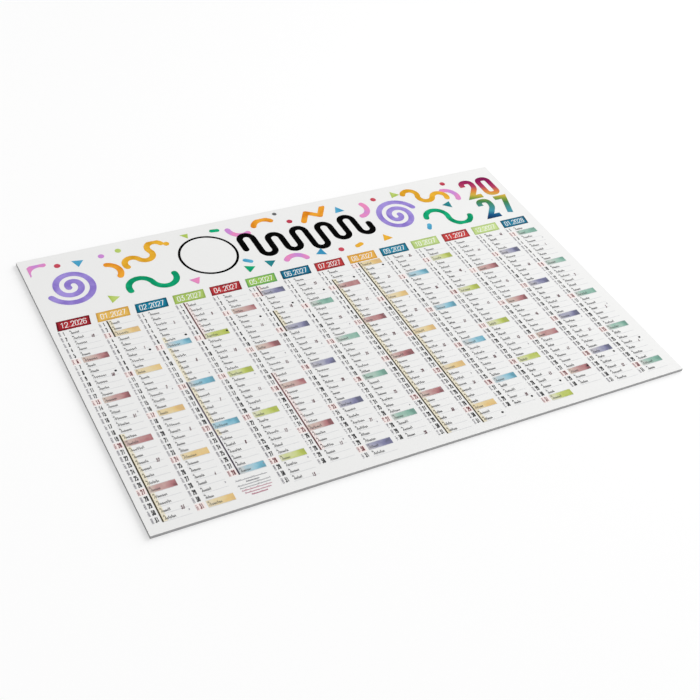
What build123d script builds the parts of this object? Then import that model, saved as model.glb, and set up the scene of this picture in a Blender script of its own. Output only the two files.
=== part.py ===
"""Rigid wall calendar.

One stiff white card with square-cut edges and a punched hanging hole near the middle of its top edge.
Its face is printed: a header of party streamers round a blank panel and a bold scribble, and below it a
table with a slanted tab over each month, a bar on each Sunday and an upright line beside each spell of
school holidays. The print is modelled as thin films of ink that lie on the card and never overlap, with
one node for each ink.
Millimetres, +X to the right across the page, +Y up the page, +Z out of the printed face.
"""
import os
from datetime import date

from build123d import *

# Card
board_width = 650.0
board_height = 430.0
board_thickness = 4.0
hole_diameter = 6.0
hole_from_top = 8.0
ink_film = 0.1

# Page margins and the heights that follow one another down the page
left_margin = 7.8
right_margin = 13.3
header_top = 11.5
header_height = 92.5
tab_clearance = 10.4
tab_height = 15.4
row_clearance = 0.9
bottom_margin = 11.3

# Month table
first_month = date(2026, 12, 1)
month_count = 14
longest_month = 31
column_gap = 6.1
tab_slant = 2.5
tab_overhang = 1.0
number_strip = 10.8
bar_clearance = 0.45
holiday_line_gap = 0.3
holiday_line_width = 1.6

# Header panel and scribble, with their places from the header's left end and middle line
panel_x = 207.2
panel_diameter = 73.0
panel_line = 3.0
scribble_x = 339.2
scribble_drop = 5.0
scribble_stroke = 8.0
scribble_pitch = 17.0
scribble_tops = [18.0, 9.0, 11.0, 9.0, 13.0]
scribble_bottoms = [9.0, 10.0, 17.0, 9.0, 9.0]

# Streamers and confetti
streamer_width = 7.5
curl_radius = 7.0
curl_growth = 6.5
curl_half_turns = 4
small_wave_radius = 10.0
small_wave_humps = 3
large_wave_radius = 15.0
large_wave_humps = 2
arch_radius = 15.0
arch_sweep = 115.0
zigzag_step = 13.0
zigzag_rise = 13.0
dot_diameter = 7.5
triangle_radius = 8.0
scrap_length = 13.0
scrap_width = 6.0

# The ink of each month's tab and of its Sunday bars, from the first column on
tab_inks = ["red", "amber", "blue", "lime", "red", "green", "navy"]
tab_inks += ["red", "amber", "blue", "lime", "red", "lime", "navy"]
bar_inks = ["red", "amber", "blue", "lime", "red", "violet", "green"]
bar_inks += ["red", "amber", "blue", "lime", "red", "violet", "green"]

# Spells of school holidays by ink: the column, the first day and the last day
holidays = {
    "black": [(0, 19, 31), (1, 1, 3), (5, 6, 9), (7, 3, 31), (8, 1, 31)],
    "red": [(3, 1, 7), (4, 16, 28), (5, 1, 2)],
    "violet": [(2, 14, 28)],
}

# Sizes that follow from the ones above
column_pitch = (board_width - left_margin - right_margin + column_gap) / month_count
column_width = column_pitch - column_gap
header_width = board_width - left_margin - right_margin
header_middle = header_height / 2
tabs_bottom = header_top + header_height + tab_clearance + tab_height
rows_top = tabs_bottom + row_clearance
row_pitch = (board_height - bottom_margin - rows_top) / longest_month
bar_width = column_width - number_strip
bar_height = row_pitch - 2 * bar_clearance
tab_width = column_width + tab_overhang - tab_slant


def page(x, y):
    """Turns distances from the page's left and top edges into the model's X and Y."""
    return (x - board_width / 2, board_height / 2 - y)


def header(x, y):
    """Turns distances from the header's left end and top line into the model's X and Y."""
    return page(left_margin + x, header_top + y)


def header_share(across, down):
    """Turns percentages of the header's width and height into the model's X and Y."""
    return header(header_width * across / 100, header_height * down / 100)


def column_left(column):
    """Distance from the page's left edge to a month's column."""
    return left_margin + column * column_pitch


def month_start(column):
    """First day of the month in a column."""
    month = first_month.month - 1 + column
    return date(first_month.year + month // 12, month % 12 + 1, 1)


def days_in(column):
    """Number of days in a column's month."""
    return (month_start(column + 1) - month_start(column)).days


def sundays(column):
    """Days of a column's month that are Sundays."""
    first = month_start(column).weekday()
    return [day for day in range(1, days_in(column) + 1) if (first + day) % 7 == 0]


def ribbon(path, width):
    """A round-ended band of even width along a path."""
    with BuildSketch(mode=Mode.PRIVATE) as band:
        SlotArc(path, width)
    return band.sketch


def wave(radius, humps):
    """A streamer of half circles, up and down by turns, centred on its middle."""
    with BuildLine(mode=Mode.PRIVATE) as path:
        for hump in range(humps):
            start = (2 * hump - humps) * radius
            peak = radius if hump % 2 == 0 else -radius
            ThreePointArc((start, 0), (start + radius, peak), (start + 2 * radius, 0))
    return ribbon(path.wire(), streamer_width)


def curl():
    """A streamer wound outwards in half circles, each larger than the last by one step."""
    with BuildLine(mode=Mode.PRIVATE) as path:
        start = -curl_radius
        for half_turn in range(curl_half_turns):
            side = 1 if half_turn % 2 == 0 else -1
            radius = side * (curl_radius + half_turn * curl_growth)
            ThreePointArc((start, 0), (start + radius, radius), (start + 2 * radius, 0))
            start += 2 * radius
    return ribbon(path.wire(), streamer_width)


def arch():
    """A streamer bent to one open arc, with its crown near the origin."""
    with BuildLine(mode=Mode.PRIVATE) as path:
        CenterArc((0, -arch_radius / 2), arch_radius, 90 - arch_sweep / 2, arch_sweep)
    return ribbon(path.wire(), streamer_width)


def zigzag():
    """A streamer folded to and fro in three straight runs."""
    with BuildLine(mode=Mode.PRIVATE) as path:
        low = -zigzag_rise / 2
        high = zigzag_rise / 2
        Polyline((-1.5 * zigzag_step, low), (-0.5 * zigzag_step, high), (0.5 * zigzag_step, low),
                 (1.5 * zigzag_step, high))
    return ribbon(path.wire(), streamer_width)


def scribble():
    """A bold line that swings up and down across the header, with half-circle turns."""
    radius = scribble_pitch / 2
    turns = len(scribble_tops) + len(scribble_bottoms)
    x = -turns * radius
    y = 0
    with BuildLine(mode=Mode.PRIVATE) as path:
        for top, bottom in zip(scribble_tops, scribble_bottoms):
            Line((x, y), (x, top))
            ThreePointArc((x, top), (x + radius, top + radius), (x + 2 * radius, top))
            x += 2 * radius
            Line((x, top), (x, -bottom))
            ThreePointArc((x, -bottom), (x + radius, -bottom - radius), (x + 2 * radius, -bottom))
            x += 2 * radius
            y = -bottom
        Line((x, y), (x, 0))
    return ribbon(path.wire(), scribble_stroke)


def dot():
    """A round confetti dot."""
    with BuildSketch(mode=Mode.PRIVATE) as face:
        Circle(dot_diameter / 2)
    return face.sketch


def triangle():
    """A three-sided scrap of confetti."""
    with BuildSketch(mode=Mode.PRIVATE) as face:
        RegularPolygon(triangle_radius, 3)
    return face.sketch


def scrap():
    """A short round-ended scrap of streamer."""
    with BuildSketch(mode=Mode.PRIVATE) as face:
        SlotOverall(scrap_length, scrap_width)
    return face.sketch


def month_tabs(ink):
    """Draws the slanted tabs that one ink prints."""
    for column in range(month_count):
        if tab_inks[column % len(tab_inks)] == ink:
            with Locations(page(column_left(column), tabs_bottom)):
                Polygon((0, 0), (tab_width, 0), (tab_width + tab_slant, tab_height), (tab_slant, tab_height),
                        align=None)


def sunday_bars(ink):
    """Draws the Sunday bars that one ink prints, each in its own row."""
    for column in range(month_count):
        if bar_inks[column % len(bar_inks)] == ink:
            middle = column_left(column) + number_strip + bar_width / 2
            tops = [rows_top + (day - 1) * row_pitch + bar_clearance for day in sundays(column)]
            with Locations(*[page(middle, top + bar_height / 2) for top in tops]):
                Rectangle(bar_width, bar_height)


def holiday_lines(ink):
    """Draws the upright lines that one ink prints beside the holidays, each as long as its days' rows."""
    for column, first, last in holidays.get(ink, []):
        if column < month_count:
            length = (last - first + 1) * row_pitch
            x = column_left(column) + number_strip - holiday_line_gap - holiday_line_width / 2
            with Locations(page(x, rows_top + (first - 1) * row_pitch + length / 2)):
                Rectangle(holiday_line_width, length)


def export_print(film, ink):
    """Names one ink's film and writes it."""
    film.part.label = f"{ink}_print"
    export_step(film.part, f"parts/{ink}_print.step")


# Each ink's confetti: a motif, its place in percent of the header's width and height, and its turn in degrees
confetti = {
    "violet": [(curl(), 6.5, 52, 25), (curl(), 74, 54, 200)],
    "green": [
        (wave(large_wave_radius, large_wave_humps), 20.2, 78, 14),
        (wave(large_wave_radius, large_wave_humps), 84.5, 78, -12),
        (scrap(), 36.9, 5, -8),
        (triangle(), 38.7, 93, 10),
    ],
    "amber": [
        (wave(small_wave_radius, small_wave_humps), 21.5, 24, 30),
        (wave(small_wave_radius, small_wave_humps), 83.4, 25, -24),
        (dot(), 26.6, 11, 0),
        (scrap(), 62.2, 95, 20),
        (triangle(), 68.6, 93, -20),
    ],
    "orange": [(arch(), 14.5, 41, -70), (arch(), 46.8, 11, 10), (zigzag(), 57.9, 13, 12)],
    "pink": [
        (arch(), 1.4, 11, 35),
        (arch(), 41.2, 16, 150),
        (arch(), 48.5, 95, -8),
        (arch(), 68.1, 26, -115),
        (arch(), 88.9, 33, -60),
        (dot(), 13.8, 9, 0),
        (triangle(), 27.8, 93, 35),
    ],
    "blue": [
        (triangle(), 9.2, 12, 20),
        (triangle(), 63.5, 16, -25),
        (triangle(), 53.9, 93, 70),
        (scrap(), 39.3, 78, -35),
        (scrap(), 78.9, 90, 60),
    ],
    "red": [
        (dot(), 5.4, 10, 0),
        (dot(), 52.3, 18, 0),
        (dot(), 72.2, 9, 0),
        (dot(), 58.1, 96, 0),
        (dot(), 89.4, 6, 0),
    ],
    "lime": [
        (dot(), 17.3, 5, 0),
        (triangle(), 30.9, 1, 40),
        (triangle(), 77.2, 8, -15),
        (triangle(), 11.9, 92, 5),
    ],
    "navy": [(triangle(), 43.1, 91, 15), (triangle(), 86.6, 53, 50)],
}

os.makedirs("parts", exist_ok=True)

# The card, punched for its hook
with BuildPart() as board:
    Box(board_width, board_height, board_thickness, align=(Align.CENTER, Align.CENTER, Align.MIN))
    with Locations((*page(board_width / 2, hole_from_top), board_thickness)):
        Hole(radius=hole_diameter / 2)
board.part.label = "board"
export_step(board.part, "parts/board.step")

# Black ink: the ring round the blank panel, the scribble and the holiday lines
with BuildPart() as black_film:
    with BuildSketch(Plane.XY.offset(board_thickness)):
        with Locations(header(panel_x, header_middle)):
            Circle(panel_diameter / 2)
            Circle(panel_diameter / 2 - panel_line, mode=Mode.SUBTRACT)
        with Locations(header(scribble_x, header_middle + scribble_drop)):
            add(scribble())
        holiday_lines("black")
    extrude(amount=ink_film)
export_print(black_film, "black")

# Header paper that is free for the coloured inks: clear of the panel, the scribble and the punched hole
with BuildSketch() as free_paper:
    with Locations(header(header_width / 2, header_middle)):
        Rectangle(header_width, header_height)
    with Locations(header(panel_x, header_middle)):
        Circle(panel_diameter / 2, mode=Mode.SUBTRACT)
    with Locations(page(board_width / 2, hole_from_top)):
        Circle(hole_diameter / 2, mode=Mode.SUBTRACT)
    with Locations(header(scribble_x, header_middle + scribble_drop)):
        add(scribble(), mode=Mode.SUBTRACT)

# Coloured inks: confetti in the header, then the tabs and Sunday bars of their months
for ink, motifs in confetti.items():
    with BuildSketch() as scraps:
        for motif, across, down, turn in motifs:
            with Locations(Location((*header_share(across, down), 0), (0, 0, turn))):
                add(motif)
        add(free_paper.sketch, mode=Mode.INTERSECT)
    with BuildSketch() as paper_left:
        add(free_paper.sketch)
        add(scraps.sketch, mode=Mode.SUBTRACT)
    free_paper = paper_left
    with BuildPart() as film:
        with BuildSketch(Plane.XY.offset(board_thickness)):
            add(scraps.sketch)
            month_tabs(ink)
            sunday_bars(ink)
            holiday_lines(ink)
        extrude(amount=ink_film)
    export_print(film, ink)
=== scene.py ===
"""Dresses the wall calendar: a faced grey board, its printed inks, and the fine print of the month table.

Sizes are in metres. Places on the card are distances from its left and top edges, as a printer gives them.
"""

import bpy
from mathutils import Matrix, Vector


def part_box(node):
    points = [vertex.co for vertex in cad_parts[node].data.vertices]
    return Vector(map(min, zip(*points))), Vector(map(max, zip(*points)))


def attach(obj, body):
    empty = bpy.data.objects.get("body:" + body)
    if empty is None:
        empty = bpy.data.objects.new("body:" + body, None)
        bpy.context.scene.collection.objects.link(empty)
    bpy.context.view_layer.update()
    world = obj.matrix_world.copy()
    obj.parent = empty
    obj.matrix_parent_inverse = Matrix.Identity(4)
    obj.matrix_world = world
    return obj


bl_info = {
    "name": "Wall calendar",
    "version": (1, 0, 0),
    "blender": (4, 5, 0),
    "location": "3D View > Sidebar > Calendar",
    "description": "Finishes and fine print of a rigid wall calendar, with a plain studio",
    "category": "Object",
}

import math
from datetime import date, timedelta

import bpy
import numpy as np
from bpy.props import FloatProperty, FloatVectorProperty, PointerProperty
from mathutils import Matrix, Vector

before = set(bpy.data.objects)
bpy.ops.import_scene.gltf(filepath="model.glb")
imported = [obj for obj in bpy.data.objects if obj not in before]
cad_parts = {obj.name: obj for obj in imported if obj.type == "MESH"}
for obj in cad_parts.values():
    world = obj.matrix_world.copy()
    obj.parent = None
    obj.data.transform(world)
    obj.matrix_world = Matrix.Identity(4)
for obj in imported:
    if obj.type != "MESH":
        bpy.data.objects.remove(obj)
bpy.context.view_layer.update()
CARD_LOW, CARD_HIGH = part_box("board")

MM = 0.001

# Dates of the table, with the longest month in days and weekdays counted from Monday as 0
FIRST_MONTH = date(2026, 12, 1)
MONTHS = 14
LONGEST_MONTH = 31
WEDNESDAY = 2
SUNDAY = 6
YEAR_LINES = ("20", "27")

# Days from the start of the first month to its new moon, and from one new moon to the next
FIRST_NEW_MOON = 8.04
LUNAR_MONTH = 29.530588
QUARTERS = 4

# Spells of holidays by the colour of their tint: the column, the first day and the last day
HOLIDAYS = {"straw": [(0, 19, 31), (1, 1, 3), (2, 6, 22), (5, 6, 9), (7, 3, 31), (8, 1, 31)],
            "pink": [(3, 1, 7), (4, 16, 28), (5, 1, 2)]}

# Middle lines of the numerals in a box one wide and two high: each corner's place, and how round it is
NUMERALS = {
    "0": [(0, 2, 0.48), (1, 2, 0.48), (1, 0, 0.48), (0, 0, 0.48)],
    "1": [(0.1, 1.55, 0), (0.6, 2, 0), (0.6, 0, 0)],
    "2": [(0, 1.42, 0), (0, 2, 0.48), (1, 2, 0.48), (1, 1.15, 0.4), (0, 0, 0), (1.05, 0, 0)],
    "3": [(0.02, 2, 0), (0.95, 2, 0), (0.24, 1.2, 0), (1, 1.2, 0.36), (1, 0, 0.48), (0, 0, 0.48),
          (0, 0.5, 0)],
    "4": [(0.72, 0, 0), (0.72, 2, 0), (0, 0.62, 0), (1.08, 0.62, 0)],
    "5": [(0.95, 2, 0), (0.1, 2, 0), (0.04, 1.2, 0), (1, 1.2, 0.48), (1, 0, 0.48), (0, 0, 0.48),
          (0, 0.5, 0)],
    "6": [(1, 1.55, 0), (1, 2, 0.48), (0, 2, 0.48), (0, 0, 0.48), (1, 0, 0.48), (1, 1.15, 0.48),
          (0.04, 1.15, 0)],
    "7": [(0, 2, 0), (1, 2, 0), (0.3, 0, 0)],
    "8": [(0.06, 1.34, 0), (0.06, 2, 0.36), (0.94, 2, 0.36), (0.94, 1.34, 0), (0, 0.8, 0), (0, 0, 0.48),
          (1, 0, 0.48), (1, 0.8, 0)],
    "9": [(0, 0.45, 0), (0, 0, 0.48), (1, 0, 0.48), (1, 2, 0.48), (0, 2, 0.48), (0, 0.85, 0.48),
          (0.96, 0.85, 0)],
    ".": [(0.5, 0, 0), (0.5, 0.2, 0)],
}
LOOPS = "08"

# From one numeral to the next in numeral widths, and the share of that which a dot takes
NUMERAL_PITCH = 1.17
DOT_SHARE = 0.55

# Cosine of half the sharpest turn at which a stroke's corner still gets its full point
POINTED_TURN = 0.42

# Heights of a scribble's peaks as shares of a tall letter, how often each comes, and how far they lean
PEAKS = (0.5, 0.58, 0.66, 1.0)
PEAK_CHANCES = (0.3, 0.3, 0.2, 0.2)
HAND_LEAN = 0.2

# Letters in a scribbled name, in the short mark above it and in a line of the note
NAME_LETTERS = 7
INITIAL_LETTERS = 2
NOTE_LETTERS = 22

# Seeds of the random draws
NAME_LENGTH_SEED = 11
NAME_SEED = 5
INITIAL_SEED = 6
NOTE_SEED = 9

# The note's column counted from 0, its lines' lengths in millimetres, and how many come before the red ones
NOTE_COLUMN = 2
NOTE_LENGTHS = (34, 14, 35, 33, 32, 28, 17)
NOTE_GREY_LINES = 4

# Tones of the inks. Streamers and lines are mottled between two. A tab has a border and a middle tone, and
# may have two more for the card's right end. A bar runs through four tones from left to right
INKS = {
    "black": {"streamer": ("#020202", "#070707"), "line": ("#3a362b", "#514c3e")},
    "red": {"streamer": ("#b23049", "#c84f5f"), "tab": ("#5a0c1b", "#b13139", "#8a3036", "#d6504b"),
            "bar": ("#d1c1b6", "#c29e9b", "#b0797c", "#8d6265"), "line": ("#5c3c3e", "#7e5a5c")},
    "amber": {"streamer": ("#d59a24", "#ecb43c"), "tab": ("#c4943a", "#e8c068", "#c8882a", "#e9aa44"),
              "bar": ("#e0d3b7", "#e2cfa2", "#e1c184", "#d8b681")},
    "orange": {"streamer": ("#d77d1a", "#eea436")},
    "lime": {"streamer": ("#a2bd48", "#bdd176"), "tab": ("#819c3a", "#a6c456", "#a9c075", "#cfe3a0"),
             "bar": ("#d7d7ba", "#c9d18b", "#b5c160", "#a8b25e")},
    "green": {"streamer": ("#0b8d61", "#18ac78"), "tab": ("#439058", "#9fc85c"),
              "bar": ("#c3c9c3", "#a3c1b4", "#84b0a0", "#759b8e")},
    "blue": {"streamer": ("#3890b9", "#5cb1d3"), "tab": ("#013a4e", "#127f9e", "#145268", "#429dba"),
             "bar": ("#c4cacb", "#9ec7d6", "#78b2c7", "#6a9cae")},
    "navy": {"streamer": ("#1f6f7c", "#2f8d92"), "tab": ("#021628", "#0b6a8c", "#14344a", "#3187a6")},
    "violet": {"streamer": ("#8a76c7", "#a392d9"), "bar": ("#bab8bf", "#a2a3b8", "#7f7fa0", "#6a6c82"),
               "line": ("#49424e", "#665d6a")},
    "pink": {"streamer": ("#c98ad2", "#e88abb")},
}
BAR_STOPS = (0.0, 0.45, 0.8, 1.0)

# Colours that run through the year's numerals, each with its share of the way
YEAR_RUN = [(0.0, "#6d0f45"), (0.14, "#8f0f55"), (0.26, "#b03a5e"), (0.36, "#d9803f"), (0.45, "#cfae42"),
            (0.52, "#84993a"), (0.6, "#3f7f48"), (0.7, "#3f8a84"), (0.8, "#3f93a4"), (0.89, "#0d4f80"),
            (1.0, "#0b1838")]

# Sockets of a Mix node: the two numbers and the two colours that it may mix, and the mixed colour
NUMBER_A, NUMBER_B = 2, 3
COLOUR_A, COLOUR_B = 6, 7
COLOUR = 2


def linear(colour):
    """Linear red, green and blue of an sRGB hex value."""
    parts = np.array([int(colour[i:i + 2], 16) for i in (1, 3, 5)]) / 255
    curve = np.where(parts <= 0.04045, parts / 12.92, ((parts + 0.055) / 1.055) ** 2.4)
    return tuple(float(part) for part in curve)


# Settings that a user may change

def size(label, description, default):
    """A length in metres."""
    return FloatProperty(name=label, description=description, default=default, unit="LENGTH", precision=5)


def sizes(label, description, *defaults):
    """Two or three lengths in metres, or a place in the frame."""
    return FloatVectorProperty(name=label, description=description, default=defaults, size=len(defaults),
                               unit="LENGTH", precision=5)


def number(label, description, default, unit="NONE"):
    """A number, plain or in a unit of its own."""
    return FloatProperty(name=label, description=description, default=default, unit=unit)


def fraction(label, description, default):
    """A share of the whole."""
    return FloatProperty(name=label, description=description, default=default, min=0, max=1,
                         subtype="FACTOR")


def degrees(label, description, default):
    """An angle, given in degrees."""
    return FloatProperty(name=label, description=description, default=math.radians(default), subtype="ANGLE")


def tint(label, description, default):
    """A colour, given as an sRGB hex value."""
    return FloatVectorProperty(name=label, description=description, default=linear(default),
                               subtype="COLOR", size=3, min=0, max=1)


class CalendarLayout(bpy.types.PropertyGroup):
    """Where the table's columns and rows stand on the card"""
    left_margin: size("Left margin", "From the card's left edge to the first column", 0.0078)
    right_margin: size("Right margin", "From the last column to the card's right edge", 0.0133)
    column_gap: size("Column gap", "Bare paper between two months", 0.0061)
    header_bottom: size("Header bottom", "From the card's top edge to the header's foot", 0.1040)
    tab_top: size("Tab top", "From the card's top edge to the month tabs", 0.1144)
    tab_height: size("Tab height", "Height of a month tab", 0.0154)
    tab_slant: size("Tab slant", "How far a tab leans to the right", 0.0025)
    tab_overhang: size("Tab overhang", "How far a leaning tab passes its column", 0.0010)
    rows_top: size("Rows top", "From the card's top edge to the first day", 0.1307)
    bottom_margin: size("Bottom margin", "From the last row to the card's lower edge", 0.0113)
    number_strip: size("Number strip", "Width of the strip that holds a day's number", 0.0108)


class CalendarCell(bpy.types.PropertyGroup):
    """Where the fine print stands in a day's cell: across from its column's left, down from its row's top"""
    count_across: size("Count across", "Middle of the upright count of days", 0.0004)
    day_across: size("Day across", "Middle of a day's number", 0.0050)
    tint_sides: sizes("Tint sides", "Left and right side of a Sunday's pale tint", -0.0010, 0.0084)
    tint_share: fraction("Tint share", "Share of its row's height that a Sunday's tint fills", 0.92)
    name_place: sizes("Name place", "Start and feet of a scribbled name", 0.0124, 0.0074)
    initial_place: sizes("Initial place", "Start and feet of the short mark above a name", 0.0119, 0.0033)
    week_place: sizes("Week place", "Middle of a week's number, from midweek's cell", 0.0334, 0.0082)
    moon_place: sizes("Moon place", "Middle of a moon mark", 0.0376, 0.0037)
    holiday_across: size("Holiday across", "Middle of the tint beside a holiday line", 0.0126)
    holiday_width: size("Holiday width", "Width of the tint beside a holiday line", 0.0042)


class CalendarPrint(bpy.types.PropertyGroup):
    """Sizes of the fine print: numerals by height, width and pen, and scribbles by height and pen"""
    film: size("Lettering film", "How far lettering stands above the card", 0.00016)
    tint_film: size("Tint film", "How far a pale tint stands above the card", 0.00003)
    rule_film: size("Rule film", "How far a rule stands above the card", 0.00006)
    rule_weight: size("Rule weight", "Thickness of the rule under each day", 0.0004)
    day_numerals: sizes("Day numerals", "Height, width and pen of a day's number", 0.0064, 0.0017, 0.00072)
    count_numerals: sizes("Count numerals", "Height, width and pen of a count", 0.0018, 0.0021, 0.00042)
    week_numerals: sizes("Week numerals", "Height, width and pen of a week's number", 0.0048, 0.0015, 0.0006)
    week_lean: number("Week lean", "Lean of a week's number for each unit of height", 0.15)
    month_numerals: sizes("Month numerals", "Height, width and pen on the tabs", 0.0088, 0.0039, 0.00076)
    name_hand: sizes("Name hand", "Height and pen of a scribbled name", 0.0034, 0.0005)
    name_lengths: sizes("Name lengths", "Shortest and longest scribbled name", 0.0080, 0.0140)
    initial_hand: sizes("Initial hand", "Height and pen of the short mark above a name", 0.00187, 0.000375)
    initial_length: size("Initial length", "Length of the short mark above a name", 0.0017)
    note_hand: sizes("Note hand", "Height and pen of the small note", 0.0016, 0.00034)
    note_across: size("Note across", "From the column's left to the note's middle", 0.019)
    note_down: size("Note down", "From the card's top edge to the feet of the note's first line", 0.3985)
    note_step: size("Note step", "From one line of the note to the next", 0.0034)
    new_moon: size("New moon", "Diameter of a new moon's mark", 0.0028)
    half_moon: size("Half moon", "Diameter of a half moon's mark", 0.00224)


class CalendarYear(bpy.types.PropertyGroup):
    """Where the year stands in the header, two numerals above two, and how its colours run"""
    numerals: sizes("Year numerals", "Height, width and pen of the year", 0.0412, 0.0228, 0.0077)
    place: sizes("Year place", "Upper line's middle, from the card's left and top edges", 0.6143, 0.0405)
    step: sizes("Year step", "From the upper line across and down to the lower one", 0.0007, 0.0445)
    run_start: sizes("Run start", "Where the colours begin, from the left and top edges", 0.641, 0.0195)
    run_size: sizes("Run size", "How far the colours run to the left and down", 0.052, 0.088)
    run_lean: fraction("Run lean", "Share of the colours' run that lies across", 0.167)


class CalendarColours(bpy.types.PropertyGroup):
    """Colours of the card and of the fine print"""
    paper: tint("Facing paper", "White paper on both faces of the card", "#ebebea")
    core: tint("Grey core", "Grey board at the cut edges", "#a7a7a8")
    text: tint("Text", "Numbers of the days, and new moons", "#232326")
    faint: tint("Faint text", "Count of days, and half moons", "#98969c")
    names: tint("Names", "Scribbled names", "#4b4b4e")
    note: tint("Note", "First lines of the small note", "#85868c")
    note_red: tint("Note red", "Last lines of the small note", "#b0607a")
    week: tint("Week numbers", "Numbers of the weeks", "#66484e")
    sunday: tint("Sunday red", "Numbers of Sundays", "#703a40")
    sunday_faint: tint("Faint Sunday red", "Count of days on Sundays", "#a38084")
    rule: tint("Rule", "Rules between the days", "#c8c9cc")
    pink_tint: tint("Pink tint", "Tint behind Sundays, and beside some holiday lines", "#ebdedb")
    straw_tint: tint("Straw tint", "Tint beside the other holiday lines", "#e2dac2")


class CalendarStage(bpy.types.PropertyGroup):
    """Camera, lamps and floor"""
    camera_place: sizes("Camera place", "Where the camera stands", -0.584511, -0.874820, 0.894268)
    camera_azimuth: degrees("Azimuth", "Turn of the view from +Y towards +X", 34.0936)
    camera_elevation: degrees("Elevation", "How far the camera looks down", 41.8613)
    camera_roll: degrees("Roll", "Turn of the picture about the line of sight", 9.4083)
    lens: number("Lens", "Focal length, for a sensor 36 mm wide", 61.3839, unit="CAMERA")
    sky: number("Sky", "Strength of the soft light from all round", 0.67)
    sky_lean: FloatVectorProperty(name="Sky lean", description="How much stronger the sky is on each axis",
                                  default=(0.56, -0.08, 0.0), subtype="XYZ")
    key: fraction("Key", "Share of a level surface's light that the soft key gives", 0.27)
    key_azimuth: degrees("Key azimuth", "Turn of the key from +X towards +Y", 20)
    key_elevation: degrees("Key elevation", "Height of the key over the floor", 29)
    key_spread: degrees("Key spread", "Width of the key as seen from the card", 44)
    side_power: number("Side lamp", "Power of the lamp beyond the right end", 2.0, unit="POWER")
    side_diameter: size("Side diameter", "Diameter of the side lamp", 0.8)
    side_place: sizes("Side place", "Where the side lamp stands", 1.0, 0.05, 0.8)
    side_aim: sizes("Side aim", "What the side lamp points at", 0.3, 0.0, 0.0)
    floor_half: size("Floor half", "From the floor's middle to its edges", 6.0)
    floor_gap: size("Floor gap", "From the card's back down to the floor", 0.00005)
    floor_glow: fraction("Floor glow", "Share of even white in the floor", 0.48)


def settings(group):
    """One of the calendar's groups of settings, such as its layout or its colours."""
    return getattr(bpy.context.scene, f"calendar_{group}")


# Places on the card

def card_place(x, y):
    """X and Y on the last axis, from distances to the card's left and top edges, as numbers or arrays."""
    return np.stack([CARD_LOW.x + x, CARD_HIGH.y - y], axis=-1)


def column_pitch():
    """Distance from one month's column to the next."""
    p = settings("layout")
    return (CARD_HIGH.x - CARD_LOW.x - p.left_margin - p.right_margin + p.column_gap) / MONTHS


def column_width():
    """Width of a month's column without its gap."""
    return column_pitch() - settings("layout").column_gap


def row_pitch():
    """Distance from one day's row to the next."""
    p = settings("layout")
    return (CARD_HIGH.y - CARD_LOW.y - p.rows_top - p.bottom_margin) / LONGEST_MONTH


def month_start(column):
    """First day of the month in a column."""
    month = FIRST_MONTH.month - 1 + column
    return date(FIRST_MONTH.year + month // 12, month % 12 + 1, 1)


def calendar_days():
    """Every day in the table, as arrays of its column, row and weekday, and its dates as a list."""
    dates = [FIRST_MONTH + timedelta(days=n) for n in range((month_start(MONTHS) - FIRST_MONTH).days)]
    months = np.array([day.year * 12 + day.month for day in dates])
    rows = np.array([day.day - 1 for day in dates])
    return months - months[0], rows, np.array([day.weekday() for day in dates]), dates


def cell_places(columns, rows, across, down):
    """X and Y of a place in each day's cell, across from its column's left and down from its row's top."""
    p = settings("layout")
    x = p.left_margin + columns * column_pitch() + across
    y = p.rows_top + rows * row_pitch() + down
    return card_place(x, y)


# Meshes

def new_piece(name, shape, material):
    """Makes a mesh object, riding with the card, from arrays of vertices and of equal-sided faces."""
    verts, faces = shape
    mesh = bpy.data.meshes.new(name)
    mesh.from_pydata(verts.tolist(), [], faces.tolist())
    mesh.update()
    mesh.materials.append(material)
    piece = bpy.data.objects.new(name, mesh)
    bpy.context.scene.collection.objects.link(piece)
    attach(piece, "root")


def strokes(paths, width, film, loop=False):
    """Flat pen strokes: a rectangle as wide as the pen and as high as the film, carried along each path.

    paths holds strokes by points by X and Y. The pen lies across the path's direction, which at a corner is
    halfway between its two runs, and there it widens by one over the cosine of half the turn, so that the
    sides stay straight. A loop runs on from its last point to its first. Other strokes have closed ends.
    """
    count, points = paths.shape[:2]
    after = np.roll(paths, -1, axis=1) - paths
    after /= np.linalg.norm(after, axis=-1, keepdims=True)
    before = np.roll(after, 1, axis=1)
    if not loop:
        before[:, 0] = after[:, 0]
        after[:, -1] = before[:, -1]
    along = before + after
    along /= np.linalg.norm(along, axis=-1, keepdims=True)
    widen = 1 / np.clip((along * after).sum(axis=-1, keepdims=True), POINTED_TURN, 1)
    across = np.stack([-along[..., 1], along[..., 0]], axis=-1) * widen * width / 2
    sides = np.stack([paths + across, paths - across, paths - across, paths + across], axis=2)
    heights = np.array([0, 0, film, film]) + CARD_HIGH.z
    verts = np.concatenate([sides, np.broadcast_to(heights[:, None], (count, points, 4, 1))], axis=-1)
    ring = np.arange(4)
    here = 4 * np.arange(points)[:, None]
    there = np.roll(here, -1, axis=0)
    faces = np.stack([here + ring, there + ring, there + (ring + 1) % 4, here + (ring + 1) % 4], axis=-1)
    if not loop:
        ends = np.array([[0, 1, 2, 3], here[-1, 0] + [3, 2, 1, 0]])
        faces = np.concatenate([faces[:-1].reshape(-1, 4), ends])
    shift = points * 4 * np.arange(count)[:, None, None]
    return verts.reshape(-1, 3), (faces.reshape(-1, 4) + shift).reshape(-1, 4)


def join(*parts):
    """One set of vertices and faces from several."""
    starts = np.cumsum([0] + [len(verts) for verts, faces in parts])
    verts = np.concatenate([part[0] for part in parts])
    faces = np.concatenate([part[1] + start for part, start in zip(parts, starts)])
    return verts, faces


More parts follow.
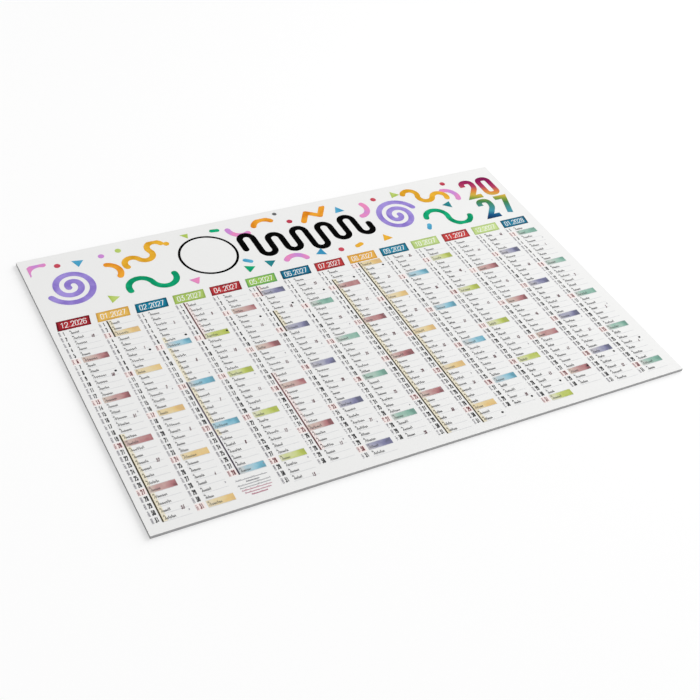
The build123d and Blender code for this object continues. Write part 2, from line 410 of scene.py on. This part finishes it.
def numeral_path(character, width, height, steps, rounding):
    """The middle line of a numeral in a box of that width and height, on its base and centred across.

    A rounded corner c is left at a and met again at b, both a share of the width away from it. Its points
    are (1-s)(1-s) a + 2s(1-s) c + s s b, with s from 0 to 1. A sharp corner is one point. Small numerals
    have a lesser rounding, so that the straights between corners stay long enough for the pen to turn.
    """
    corners = np.array(NUMERALS[character], float)
    places = (corners[:, :2] - (0.5, 0)) * (width, height / 2)
    cut = corners[:, 2:] * width * rounding
    after = np.roll(places, -1, axis=0) - places
    after /= np.linalg.norm(after, axis=-1, keepdims=True)
    leave = places - np.roll(after, 1, axis=0) * cut
    meet = places + after * cut
    s = np.linspace(0, 1, steps)[:, None]
    curve = (1 - s) ** 2 * leave[:, None] + 2 * s * (1 - s) * places[:, None] + s ** 2 * meet[:, None]
    kept = (cut > 0) | (np.arange(steps) == 0)
    return curve[kept]


def numbers(texts, places, numerals, film, steps=2, rounding=0.68, lean=0.0, upright=False):
    """Numbers drawn with a pen, each centred on its place, from their numerals' height, width and pen.

    Each numeral's middle line is moved to its turn in its number, leant to the right by a share of its
    height and then drawn with the pen. Upright numbers are turned a quarter turn, to read up the page.
    """
    height, width, pen = numerals
    spots = {}
    for text, place in zip(texts, places):
        takes = np.array([DOT_SHARE if letter == "." else 1.0 for letter in text])
        offsets = (np.cumsum(takes) - takes / 2 - takes.sum() / 2) * width * NUMERAL_PITCH
        for letter, offset in zip(text, offsets):
            spots.setdefault(letter, []).append((*place, offset))
    parts = []
    for letter, found in spots.items():
        found = np.array(found)
        path = numeral_path(letter, width - pen, height - pen, steps, rounding)
        path -= (0, (height - pen) / 2)
        x = path[:, 0] + lean * path[:, 1] + found[:, 2:]
        y = np.broadcast_to(path[:, 1], x.shape)
        if upright:
            x, y = -y, x
        paths = np.stack([x + found[:, :1], y + found[:, 1:2]], axis=-1)
        parts.append(strokes(paths, pen, film, letter in LOOPS))
    return join(*parts)


def scribbles(places, lengths, hand, film, letters, seed):
    """Scribbled words, each a zigzag of the pen along its length with one peak for each letter.

    The hand gives a tall letter's height and the pen's width. The feet stand on one line, and the peaks are
    drawn at random from small and tall letters, but the first is tall. They lean a little to the right.
    """
    height, pen = hand
    rng = np.random.default_rng(seed)
    point = np.arange(2 * letters + 1)
    peaks = rng.choice(PEAKS, p=PEAK_CHANCES, size=(len(places), len(point)))
    peaks[:, 1] = 1.0
    y = np.where(point % 2 == 1, peaks, 0.0) * height
    x = point / point[-1] * lengths[:, None] + HAND_LEAN * y
    paths = np.stack([x + places[:, :1], y + places[:, 1:]], axis=-1)
    return strokes(paths, pen, film)


def discs(places, diameter, film, sides=12, start=0.0, sweep=2 * math.pi):
    """Flat round marks, each a fan across points at even angles, at the card and at the film's top.

    A sweep under a full turn leaves a part of the round out, as in a half moon.
    """
    gaps = sides if sweep >= 2 * math.pi else sides - 1
    angle = start + sweep * np.arange(sides) / gaps
    flat = places[:, None] + np.stack([np.cos(angle), np.sin(angle)], axis=-1) * diameter / 2
    low = np.concatenate([flat, np.full((*flat.shape[:2], 1), CARD_HIGH.z)], axis=-1)
    verts = np.concatenate([low, low + (0, 0, film)], axis=1)
    i = np.arange(sides)
    j = (i + 1) % sides
    k = np.arange(1, sides - 1)
    wall = [np.stack([i, j, j + sides], axis=-1), np.stack([i, j + sides, i + sides], axis=-1)]
    top = np.stack([0 * k, k, k + 1], axis=-1) + sides
    bottom = np.stack([0 * k, k + 1, k], axis=-1)
    faces = np.concatenate([*wall, top, bottom])
    shift = 2 * sides * np.arange(len(places))[:, None, None]
    return verts.reshape(-1, 3), (faces + shift).reshape(-1, 3)


# Materials

def add_node(tree, kind, output, inputs, **options):
    """Adds a shader node with its options, gives each input a value or the output that feeds it, and returns
    one of the node's outputs, if it has any."""
    made = tree.nodes.new(f"ShaderNode{kind}")
    for name, value in options.items():
        setattr(made, name, value)
    for key, value in inputs.items():
        if isinstance(value, bpy.types.NodeSocket):
            tree.links.new(value, made.inputs[key])
        else:
            made.inputs[key].default_value = value
    return made.outputs[output] if made.outputs else None


def coated_paper(name, specular, tooth):
    """A matt material with the fine tooth of coated paper, returned with its node tree, its shader and the
    place on the card.

    Real fibres are a few hundredths of a millimetre wide. They are drawn as coarse as they need to show.
    """
    roughness = 0.6
    fibre_width, fibre_height = 0.6 * MM, 0.02 * MM
    material = bpy.data.materials.new(name)
    material.use_nodes = True
    tree = material.node_tree
    shader = tree.nodes["Principled BSDF"]
    shader.inputs["Roughness"].default_value = roughness
    shader.inputs["Specular IOR Level"].default_value = specular
    place = add_node(tree, "TexCoord", "Object", {})
    grain = add_node(tree, "TexNoise", "Fac", {"Vector": place, "Scale": 1 / fibre_width, "Detail": 3.0})
    bump = add_node(tree, "Bump", "Normal", {"Height": grain, "Strength": tooth, "Distance": fibre_height})
    tree.links.new(bump, shader.inputs["Normal"])
    return material, tree, shader, place


def rgba(colour):
    """A linear colour with full cover, from an sRGB hex value or from a linear one."""
    return (*(linear(colour) if isinstance(colour, str) else colour), 1.0)


def set_stops(blended, stops):
    """Gives a colour ramp's stops their places and sRGB colours."""
    elements = blended.node.color_ramp.elements
    for place, colour in stops[1:-1]:
        elements.new(place)
    for element, (place, colour) in zip(elements, stops):
        element.position = place
        element.color = rgba(colour)


def faced_grey_board():
    """Grey board faced with coated white paper: smooth white faces, clouded a little where the coating takes
    up the light, and at the cut edges a fibrous grey core in thin layers between two fine white lines."""
    facing = 0.2 * MM
    cloud_width = 70 * MM
    layer_length, layer_height = 11 * MM, 0.4 * MM
    palette = settings("colours")
    paper, core = np.array(palette.paper), np.array(palette.core)
    clouded = paper * 0.985
    dark_fibre, light_fibre = core * 0.6, core * 1.35
    middle = (CARD_LOW.z + CARD_HIGH.z) / 2
    material, tree, shader, place = coated_paper("faced_grey_board", specular=0.2, tooth=0.1)
    height = add_node(tree, "SeparateXYZ", "Z", {"Vector": place})
    off_middle = add_node(tree, "Math", 0, {0: height, 1: middle}, operation="SUBTRACT")
    depth = add_node(tree, "Math", 0, {0: off_middle}, operation="ABSOLUTE")
    in_core = add_node(tree, "Math", 0, {0: depth, 1: CARD_HIGH.z - middle - facing}, operation="LESS_THAN")
    clouds = add_node(tree, "TexNoise", "Fac", {"Vector": place, "Scale": 1 / cloud_width, "Detail": 2.0})
    face = add_node(tree, "Mix", COLOUR, {0: clouds, COLOUR_A: rgba(clouded), COLOUR_B: rgba(paper)},
                    data_type="RGBA")
    layers = add_node(tree, "Mapping", "Vector",
                      {"Vector": place, "Scale": (1 / layer_length, 1 / layer_length, 1 / layer_height)})
    fibres = add_node(tree, "TexNoise", "Fac",
                      {"Vector": layers, "Scale": 1.0, "Detail": 5.0, "Roughness": 0.7})
    edge = add_node(tree, "Mix", COLOUR,
                    {0: fibres, COLOUR_A: rgba(dark_fibre), COLOUR_B: rgba(light_fibre)}, data_type="RGBA")
    colour = add_node(tree, "Mix", COLOUR, {0: in_core, COLOUR_A: face, COLOUR_B: edge}, data_type="RGBA")
    tree.links.new(colour, shader.inputs["Base Color"])
    return material


def tab_share(tree, x, y, tone):
    """How light a month tab is at a place: dark along its slanted border, light within, and mottled.

    The place is turned into distances from the tab's four sides, after the slant is taken out and the
    columns are folded onto the first, and the least of them rises smoothly from the border to the inside.
    """
    border, inside = 0.2 * MM, 3.6 * MM
    mottle = 0.35
    p = settings("layout")
    left, bottom = card_place(p.left_margin, p.tab_top + p.tab_height)
    tab_width = column_width() + p.tab_overhang - p.tab_slant
    up = add_node(tree, "Math", 0, {0: y, 1: bottom}, operation="SUBTRACT")
    across = add_node(tree, "Math", 0, {0: x, 1: left}, operation="SUBTRACT")
    straight = add_node(tree, "Math", 0, {0: up, 1: -p.tab_slant / p.tab_height, 2: across},
                        operation="MULTIPLY_ADD")
    folded = add_node(tree, "Math", 0, {0: straight, 1: column_pitch()}, operation="FLOORED_MODULO")
    beyond = add_node(tree, "Math", 0, {0: tab_width, 1: folded}, operation="SUBTRACT")
    above = add_node(tree, "Math", 0, {0: p.tab_height, 1: up}, operation="SUBTRACT")
    side = add_node(tree, "Math", 0, {0: folded, 1: beyond}, operation="MINIMUM")
    end = add_node(tree, "Math", 0, {0: up, 1: above}, operation="MINIMUM")
    inset = add_node(tree, "Math", 0, {0: side, 1: end}, operation="MINIMUM")
    light = add_node(tree, "MapRange", "Result",
                     {"Value": inset, "From Min": border, "From Max": inside, "To Max": 1 - mottle},
                     interpolation_type="SMOOTHSTEP")
    return add_node(tree, "Math", 0, {0: tone, 1: mottle, 2: light}, operation="MULTIPLY_ADD")


def tab_colour(tree, x, y, tone, tones):
    """A month tab's colour: border and middle tones mixed by its lightness, for the card's left end and for
    its right, and those two mixed by the place along the card."""
    share = tab_share(tree, x, y, tone)
    first, last = (add_node(tree, "Mix", COLOUR, {0: share, COLOUR_A: rgba(border), COLOUR_B: rgba(middle)},
                            data_type="RGBA") for border, middle in (tones[:2], tones[-2:]))
    along = add_node(tree, "MapRange", "Result",
                     {"Value": x, "From Min": CARD_LOW.x, "From Max": CARD_HIGH.x})
    return add_node(tree, "Mix", COLOUR, {0: along, COLOUR_A: first, COLOUR_B: last}, data_type="RGBA")


def bar_colour(tree, in_column, tone, tones):
    """A Sunday bar's colour: its four tones by the share of the way across, moved about by the mottle."""
    mottle = 0.4
    fade = add_node(tree, "MapRange", "Result",
                    {"Value": in_column, "From Min": settings("layout").number_strip,
                     "From Max": column_width(), "To Min": -mottle / 2, "To Max": 1 - mottle / 2})
    share = add_node(tree, "Math", 0, {0: tone, 1: mottle, 2: fade}, operation="MULTIPLY_ADD",
                     use_clamp=True)
    washed = add_node(tree, "ValToRGB", "Color", {"Fac": share})
    set_stops(washed, list(zip(BAR_STOPS, tones)))
    return washed


def offset_ink(name, streamer, tab=None, bar=None, line=None):
    """Offset ink on coated paper: matt, and a little uneven, as a printed wash painting is.

    The streamers' mottle is the ground. Tabs take its place below the header, bars in the rows, and holiday
    lines in the rows' number strips.
    """
    wash_width = 15 * MM
    wash_dark, wash_light = 0.36, 0.64
    strip_play = 0.15 * MM
    p = settings("layout")
    left, header_line = card_place(p.left_margin, (p.header_bottom + p.tab_top) / 2)
    row_line = card_place(0, (p.tab_top + p.tab_height + p.rows_top) / 2)[1]
    material, tree, shader, place = coated_paper(name, specular=0.004, tooth=0.06)
    x, y = (add_node(tree, "SeparateXYZ", axis, {"Vector": place}) for axis in "XY")
    wash = add_node(tree, "TexNoise", "Fac", {"Vector": place, "Scale": 1 / wash_width, "Detail": 3.0})
    tone = add_node(tree, "MapRange", "Result",
                    {"Value": wash, "From Min": wash_dark, "From Max": wash_light})
    colour = add_node(tree, "Mix", COLOUR,
                      {0: tone, COLOUR_A: rgba(streamer[0]), COLOUR_B: rgba(streamer[1])}, data_type="RGBA")
    fields = []
    if tab:
        below = add_node(tree, "Math", 0, {0: y, 1: header_line}, operation="LESS_THAN")
        fields.append((below, tab_colour(tree, x, y, tone, tab)))
    if bar or line:
        across = add_node(tree, "Math", 0, {0: x, 1: left}, operation="SUBTRACT")
        in_column = add_node(tree, "Math", 0, {0: across, 1: column_pitch()}, operation="FLOORED_MODULO")
        in_rows = add_node(tree, "Math", 0, {0: y, 1: row_line}, operation="LESS_THAN")
    if bar:
        fields.append((in_rows, bar_colour(tree, in_column, tone, bar)))
    if line:
        in_strip = add_node(tree, "Math", 0, {0: in_column, 1: p.number_strip - strip_play},
                            operation="LESS_THAN")
        on_line = add_node(tree, "Math", 0, {0: in_rows, 1: in_strip}, operation="MULTIPLY")
        drawn = add_node(tree, "Mix", COLOUR, {0: tone, COLOUR_A: rgba(line[0]), COLOUR_B: rgba(line[1])},
                         data_type="RGBA")
        fields.append((on_line, drawn))
    for share, field in fields:
        colour = add_node(tree, "Mix", COLOUR, {0: share, COLOUR_A: colour, COLOUR_B: field},
                          data_type="RGBA")
    tree.links.new(colour, shader.inputs["Base Color"])
    return material


def text_ink(name, colour):
    """Small type in one offset ink: dense and matt, with the paper's tooth just showing as paler specks.

    The specks are drawn coarser than the real ones, so that they show.
    """
    speck_width = 1.2 * MM
    speck_gain, speck_lift = 1.15, 0.006
    pale = np.minimum(np.array(colour) * speck_gain + speck_lift, 1.0)
    material, tree, shader, place = coated_paper(name, specular=0.02, tooth=0.06)
    specks = add_node(tree, "TexNoise", "Fac", {"Vector": place, "Scale": 1 / speck_width, "Detail": 2.0})
    printed = add_node(tree, "Mix", COLOUR, {0: specks, COLOUR_A: rgba(colour), COLOUR_B: rgba(pale)},
                       data_type="RGBA")
    tree.links.new(printed, shader.inputs["Base Color"])
    return material


def rainbow_ink():
    """The year's offset inks, run into one another from wine at the upper right to navy at the lower left:
    the share of the way is a small part across and a large part down, added up."""
    year = settings("year")
    right, top = card_place(*year.run_start)
    width, height = year.run_size
    material, tree, shader, place = coated_paper("rainbow_offset_ink", specular=0.02, tooth=0.06)
    x, y = (add_node(tree, "SeparateXYZ", axis, {"Vector": place}) for axis in "XY")
    across = add_node(tree, "MapRange", "Result",
                      {"Value": x, "From Min": right, "From Max": right - width, "To Max": year.run_lean})
    down = add_node(tree, "MapRange", "Result",
                    {"Value": y, "From Min": top, "From Max": top - height, "To Max": 1 - year.run_lean})
    share = add_node(tree, "Math", 0, {0: across, 1: down}, operation="ADD")
    run = add_node(tree, "ValToRGB", "Color", {"Fac": share})
    set_stops(run, YEAR_RUN)
    tree.links.new(run, shader.inputs["Base Color"])
    return material


def dress(node, material):
    """Gives a CAD node one material."""
    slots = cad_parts[node].data.materials
    slots.clear()
    slots.append(material)


# Operators

class CALENDAR_OT_board(bpy.types.Operator):
    """Gives the card its faced grey board"""
    bl_idname = "calendar.board"
    bl_label = "Card"

    def execute(self, context):
        dress("board", faced_grey_board())
        return {"FINISHED"}


class CALENDAR_OT_inks(bpy.types.Operator):
    """Gives each printed film its ink"""
    bl_idname = "calendar.inks"
    bl_label = "Printed inks"

    def execute(self, context):
        for ink, tones in INKS.items():
            dress(f"{ink}_print", offset_ink(f"{ink}_offset_ink", **tones))
        return {"FINISHED"}


class CALENDAR_OT_year(bpy.types.Operator):
    """Prints the year in the header's right end, two numerals above two"""
    bl_idname = "calendar.year"
    bl_label = "Year"

    def execute(self, context):
        year = settings("year")
        lines = np.arange(len(YEAR_LINES))[:, None]
        places = card_place(*(np.array(year.place) + lines * np.array(year.step)).T)
        shape = numbers(YEAR_LINES, places, year.numerals, settings("print").film, steps=12, rounding=1.0)
        new_piece("year_numerals", shape, rainbow_ink())
        return {"FINISHED"}


class CALENDAR_OT_months(bpy.types.Operator):
    """Prints each month's number and year on its tab, left white"""
    bl_idname = "calendar.months"
    bl_label = "Month numbers"

    def execute(self, context):
        p = settings("layout")
        fine = settings("print")
        starts = [month_start(column) for column in range(MONTHS)]
        texts = [f"{start.month:02d}.{start.year}" for start in starts]
        x = p.left_margin + np.arange(MONTHS) * column_pitch() + (column_width() + p.tab_overhang) / 2
        y = np.full(MONTHS, p.tab_top + p.tab_height / 2)
        shape = numbers(texts, card_place(x, y), fine.month_numerals, fine.film, steps=6, rounding=1.0,
                        lean=p.tab_slant / p.tab_height)
        new_piece("month_numbers", shape, text_ink("unprinted_paper", settings("colours").paper))
        return {"FINISHED"}


class CALENDAR_OT_days(bpy.types.Operator):
    """Prints the days' numbers, with Sundays in red on a pale tint, and the count of days beside them"""
    bl_idname = "calendar.days"
    bl_label = "Day numbers"

    def execute(self, context):
        fine, spot, palette = settings("print"), settings("cell"), settings("colours")
        columns, rows, weekdays, dates = calendar_days()
        sunday = weekdays == SUNDAY
        middle = row_pitch() / 2
        places = cell_places(columns, rows, spot.day_across, middle)
        counts = cell_places(columns, rows, spot.count_across, middle)
        black = text_ink("black_text_ink", palette.text)
        red = text_ink("red_text_ink", palette.sunday)
        faint = text_ink("faint_text_ink", palette.faint)
        faint_red = text_ink("faint_red_text_ink", palette.sunday_faint)
        for name, chosen, number_ink, count_ink, slot in (("weekday", ~sunday, black, faint, "black_ink"),
                                                          ("sunday", sunday, red, faint_red, "red_ink")):
            picked = [day for day, wanted in zip(dates, chosen) if wanted]
            texts = [str(day.day) for day in picked]
            shape = numbers(texts, places[chosen], fine.day_numerals, fine.film)
            new_piece(f"{name}_numbers", shape, number_ink)
            texts = [f"{day.timetuple().tm_yday:03d}" for day in picked]
            shape = numbers(texts, counts[chosen], fine.count_numerals, fine.film, steps=1, rounding=0.0,
                            upright=True)
            new_piece(f"{name}_counts", shape, count_ink)
        ends = np.stack([cell_places(columns[sunday], rows[sunday], side, middle)
                         for side in spot.tint_sides], axis=1)
        shape = strokes(ends, row_pitch() * spot.tint_share, fine.tint_film)
        new_piece("sunday_tints", shape, text_ink("pink_tint_ink", palette.pink_tint))
        return {"FINISHED"}


class CALENDAR_OT_rules(bpy.types.Operator):
    """Rules a fine grey line under each day"""
    bl_idname = "calendar.rules"
    bl_label = "Rules"

    def execute(self, context):
        fine = settings("print")
        columns, rows = calendar_days()[:2]
        sides = (settings("layout").number_strip, column_width())
        ends = np.stack([cell_places(columns, rows, side, row_pitch()) for side in sides], axis=1)
        shape = strokes(ends, fine.rule_weight, fine.rule_film)
        new_piece("day_rules", shape, text_ink("grey_rule_ink", settings("colours").rule))
        return {"FINISHED"}


class CALENDAR_OT_names(bpy.types.Operator):
    """Scribbles a name into each day, with a short mark above it"""
    bl_idname = "calendar.names"
    bl_label = "Scribbled names"

    def execute(self, context):
        fine, spot = settings("print"), settings("cell")
        columns, rows = calendar_days()[:2]
        lengths = np.random.default_rng(NAME_LENGTH_SEED).uniform(*fine.name_lengths, len(rows))
        names = scribbles(cell_places(columns, rows, *spot.name_place), lengths, fine.name_hand, fine.film,
                          NAME_LETTERS, NAME_SEED)
        lengths = np.full(len(rows), fine.initial_length)
        marks = scribbles(cell_places(columns, rows, *spot.initial_place), lengths, fine.initial_hand,
                          fine.film, INITIAL_LETTERS, INITIAL_SEED)
        ink = text_ink("name_text_ink", settings("colours").names)
        new_piece("name_scribbles", join(names, marks), ink)
        return {"FINISHED"}


class CALENDAR_OT_marks(bpy.types.Operator):
    """Prints the week numbers, the moon's phases and the tint beside the holiday lines"""
    bl_idname = "calendar.marks"
    bl_label = "Week, moon and holiday marks"

    def execute(self, context):
        fine, spot, palette = settings("print"), settings("cell"), settings("colours")
        self.weeks(fine, spot, palette)
        self.moons(fine, spot, palette)
        self.holidays(fine, spot, palette)
        return {"FINISHED"}

    def weeks(self, fine, spot, palette):
        """Each week's number, at midweek."""
        columns, rows, weekdays, dates = calendar_days()
        midweek = weekdays == WEDNESDAY
        texts = [str(day.isocalendar()[1]) for day, wanted in zip(dates, midweek) if wanted]
        places = cell_places(columns[midweek], rows[midweek], *spot.week_place)
        shape = numbers(texts, places, fine.week_numerals, fine.film, lean=fine.week_lean)
        new_piece("week_numbers", shape, text_ink("week_text_ink", palette.week))

    def moons(self, fine, spot, palette):
        """A dot on each new moon's day and a half dot on each half moon's: the days by whose end the moon's
        age has come into a new quarter of its month."""
        columns, rows = calendar_days()[:2]
        age = (np.arange(1, len(rows) + 1) - FIRST_NEW_MOON) % LUNAR_MONTH
        quarter = np.floor(age / LUNAR_MONTH * QUARTERS)
        changes = np.concatenate([[False], np.diff(quarter) != 0])
        places = cell_places(columns, rows, *spot.moon_place)
        shape = discs(places[changes & (quarter == 0)], fine.new_moon, fine.film)
        new_piece("new_moon_marks", shape, text_ink("moon_text_ink", palette.text))
        shape = discs(places[changes & (quarter % 2 == 1)], fine.half_moon, fine.film, sides=7,
                      start=-math.pi / 2, sweep=math.pi)
        new_piece("half_moon_marks", shape, text_ink("half_moon_text_ink", palette.faint))

    def holidays(self, fine, spot, palette):
        """A strip of pale tint along each spell of holidays."""
        for name, colour, slot in (("straw", palette.straw_tint, "amber_ink"),
                                   ("pink", palette.pink_tint, "pink_ink")):
            columns, first, last = np.array(HOLIDAYS[name]).T
            ends = np.stack([cell_places(columns, row, spot.holiday_across, 0.0)
                             for row in (first - 1, last)], axis=1)
            shape = strokes(ends, spot.holiday_width, fine.tint_film)
            new_piece(f"{name}_holiday_tints", shape, text_ink(f"{name}_holiday_tint_ink", colour))


class CALENDAR_OT_notes(bpy.types.Operator):
    """Scribbles a small note under the shortest month"""
    bl_idname = "calendar.notes"
    bl_label = "Note"

    def execute(self, context):
        fine, palette = settings("print"), settings("colours")
        lengths = np.array(NOTE_LENGTHS) * MM
        line = np.arange(len(lengths))
        middle = settings("layout").left_margin + NOTE_COLUMN * column_pitch() + fine.note_across
        places = card_place(middle - lengths / 2, fine.note_down + line * fine.note_step)
        grey = line < NOTE_GREY_LINES
        for name, chosen, colour, slot in (("note_lines", grey, palette.note, "black_ink"),
                                           ("note_red_lines", ~grey, palette.note_red, "red_ink")):
            shape = scribbles(places[chosen], lengths[chosen], fine.note_hand, fine.film, NOTE_LETTERS,
                              NOTE_SEED)
            new_piece(name, shape, text_ink(f"{name}_ink", colour))
        return {"FINISHED"}


class CALENDAR_OT_stage(bpy.types.Operator):
    """Sets the camera, the soft light and a white floor"""
    bl_idname = "calendar.stage"
    bl_label = "Stage"

    def execute(self, context):
        scene = context.scene
        s = settings("stage")
        self.camera(scene, s)
        self.lamps(scene, s)
        self.sky(scene, s)
        self.floor(scene, s)
        scene.view_settings.view_transform = "Standard"
        return {"FINISHED"}

    def camera(self, scene, s):
        """Stands the camera at its place, turned by its azimuth, elevation and roll."""
        level = math.cos(s.camera_elevation)
        ahead = Vector((level * math.sin(s.camera_azimuth), level * math.cos(s.camera_azimuth),
                        -math.sin(s.camera_elevation)))
        right = ahead.cross(Vector((0, 0, 1))).normalized()
        axes = Matrix((right, right.cross(ahead), -ahead)).transposed()
        axes = axes @ Matrix.Rotation(s.camera_roll, 3, "Z")
        lens = bpy.data.cameras.new("camera")
        lens.lens = s.lens
        camera = bpy.data.objects.new("camera", lens)
        camera.matrix_world = Matrix.Translation(s.camera_place) @ axes.to_4x4()
        scene.collection.objects.link(camera)
        scene.camera = camera

    def lamps(self, scene, s):
        """A broad soft key, as strong as the light that it gives a level surface, and a round side lamp."""
        key = bpy.data.lights.new("key", "SUN")
        key.angle = s.key_spread
        key.energy = math.pi * s.key / math.sin(s.key_elevation)
        level = math.cos(s.key_elevation)
        key_place = Vector((level * math.cos(s.key_azimuth), level * math.sin(s.key_azimuth),
                            math.sin(s.key_elevation)))
        side = bpy.data.lights.new("side", "AREA")
        side.shape = "DISK"
        side.size = s.side_diameter
        side.energy = s.side_power
        for light, place, aim in ((key, key_place, Vector((0, 0, 0))),
                                  (side, Vector(s.side_place), Vector(s.side_aim))):
            lamp = bpy.data.objects.new(light.name, light)
            lamp.location = place
            lamp.rotation_euler = (place - aim).to_track_quat("Z", "Y").to_euler()
            scene.collection.objects.link(lamp)

    def seen(self, tree):
        """One for rays from the camera, a gloss or a glass, and none for the rays that light the object."""
        camera, gloss, glass = (add_node(tree, "LightPath", ray, {})
                                for ray in ("Is Camera Ray", "Is Glossy Ray", "Is Transmission Ray"))
        mirrored = add_node(tree, "Math", 0, {0: gloss, 1: glass}, operation="MAXIMUM")
        return add_node(tree, "Math", 0, {0: camera, 1: mirrored}, operation="MAXIMUM")

    def sky(self, scene, s):
        """Even white where the sky is seen, and elsewhere a soft light that is stronger towards one side."""
        world = bpy.data.worlds.new("studio")
        world.use_nodes = True
        scene.world = world
        tree = world.node_tree
        tree.nodes.clear()
        direction = add_node(tree, "TexCoord", "Generated", {})
        lean = add_node(tree, "VectorMath", "Value", {0: direction, 1: s.sky_lean}, operation="DOT_PRODUCT")
        soft = add_node(tree, "Math", 0, {0: lean, 1: s.sky}, operation="ADD")
        strength = add_node(tree, "Mix", 0, {0: self.seen(tree), NUMBER_A: soft, NUMBER_B: 1.0},
                            data_type="FLOAT")
        glow = add_node(tree, "Background", 0, {"Color": rgba("#ffffff"), "Strength": strength})
        add_node(tree, "OutputWorld", None, {"Surface": glow})

    def floor(self, scene, s):
        """A white floor just under the card, which keeps its shadow and shows a share of even white."""
        half, low = s.floor_half, CARD_LOW.z - s.floor_gap
        corners = [(-half, -half, low), (half, -half, low), (half, half, low), (-half, half, low)]
        mesh = bpy.data.meshes.new("floor")
        mesh.from_pydata(corners, [], [(0, 1, 2, 3)])
        material = bpy.data.materials.new("white_floor")
        material.use_nodes = True
        tree = material.node_tree
        tree.nodes.clear()
        share = add_node(tree, "Math", 0, {0: self.seen(tree), 1: s.floor_glow}, operation="MULTIPLY")
        paint = add_node(tree, "BsdfDiffuse", 0, {"Color": rgba("#fdfdfd")})
        glow = add_node(tree, "Emission", 0, {"Color": rgba("#ffffff"), "Strength": 1.0})
        both = add_node(tree, "MixShader", 0, {0: share, 1: paint, 2: glow})
        add_node(tree, "OutputMaterial", None, {"Surface": both})
        mesh.materials.append(material)
        floor = bpy.data.objects.new("floor", mesh)
        scene.collection.objects.link(floor)


GROUPS = {"layout": CalendarLayout, "cell": CalendarCell, "print": CalendarPrint, "year": CalendarYear,
          "colours": CalendarColours, "stage": CalendarStage}
OPERATORS = (CALENDAR_OT_board, CALENDAR_OT_inks, CALENDAR_OT_year, CALENDAR_OT_months, CALENDAR_OT_days,
             CALENDAR_OT_rules, CALENDAR_OT_names, CALENDAR_OT_marks, CALENDAR_OT_notes, CALENDAR_OT_stage)


class CALENDAR_PT_sidebar(bpy.types.Panel):
    """Lists the calendar's settings and its steps"""
    bl_idname = "CALENDAR_PT_sidebar"
    bl_label = "Wall calendar"
    bl_space_type = "VIEW_3D"
    bl_region_type = "UI"
    bl_category = "Calendar"

    def draw(self, context):
        for name in GROUPS:
            group = settings(name)
            for setting in group.bl_rna.properties.keys():
                if setting not in {"rna_type", "name"}:
                    self.layout.prop(group, setting)
        for step in OPERATORS:
            self.layout.operator(step.bl_idname)


def register():
    """Registers the classes, and gives the scene its groups of settings."""
    for kind in (*GROUPS.values(), *OPERATORS, CALENDAR_PT_sidebar):
        bpy.utils.register_class(kind)
    for name, group in GROUPS.items():
        setattr(bpy.types.Scene, f"calendar_{name}", PointerProperty(type=group))


def unregister():
    """Takes the groups of settings off the scene, and unregisters the classes."""
    for name in GROUPS:
        delattr(bpy.types.Scene, f"calendar_{name}")
    for kind in (CALENDAR_PT_sidebar, *reversed(OPERATORS), *reversed(GROUPS.values())):
        bpy.utils.unregister_class(kind)


def main():
    """Dresses the calendar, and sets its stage."""
    register()
    bpy.ops.calendar.board()
    bpy.ops.calendar.inks()
    bpy.ops.calendar.year()
    bpy.ops.calendar.months()
    bpy.ops.calendar.days()
    bpy.ops.calendar.rules()
    bpy.ops.calendar.names()
    bpy.ops.calendar.marks()
    bpy.ops.calendar.notes()
    bpy.ops.calendar.stage()


if __name__ == "__main__":
    main()
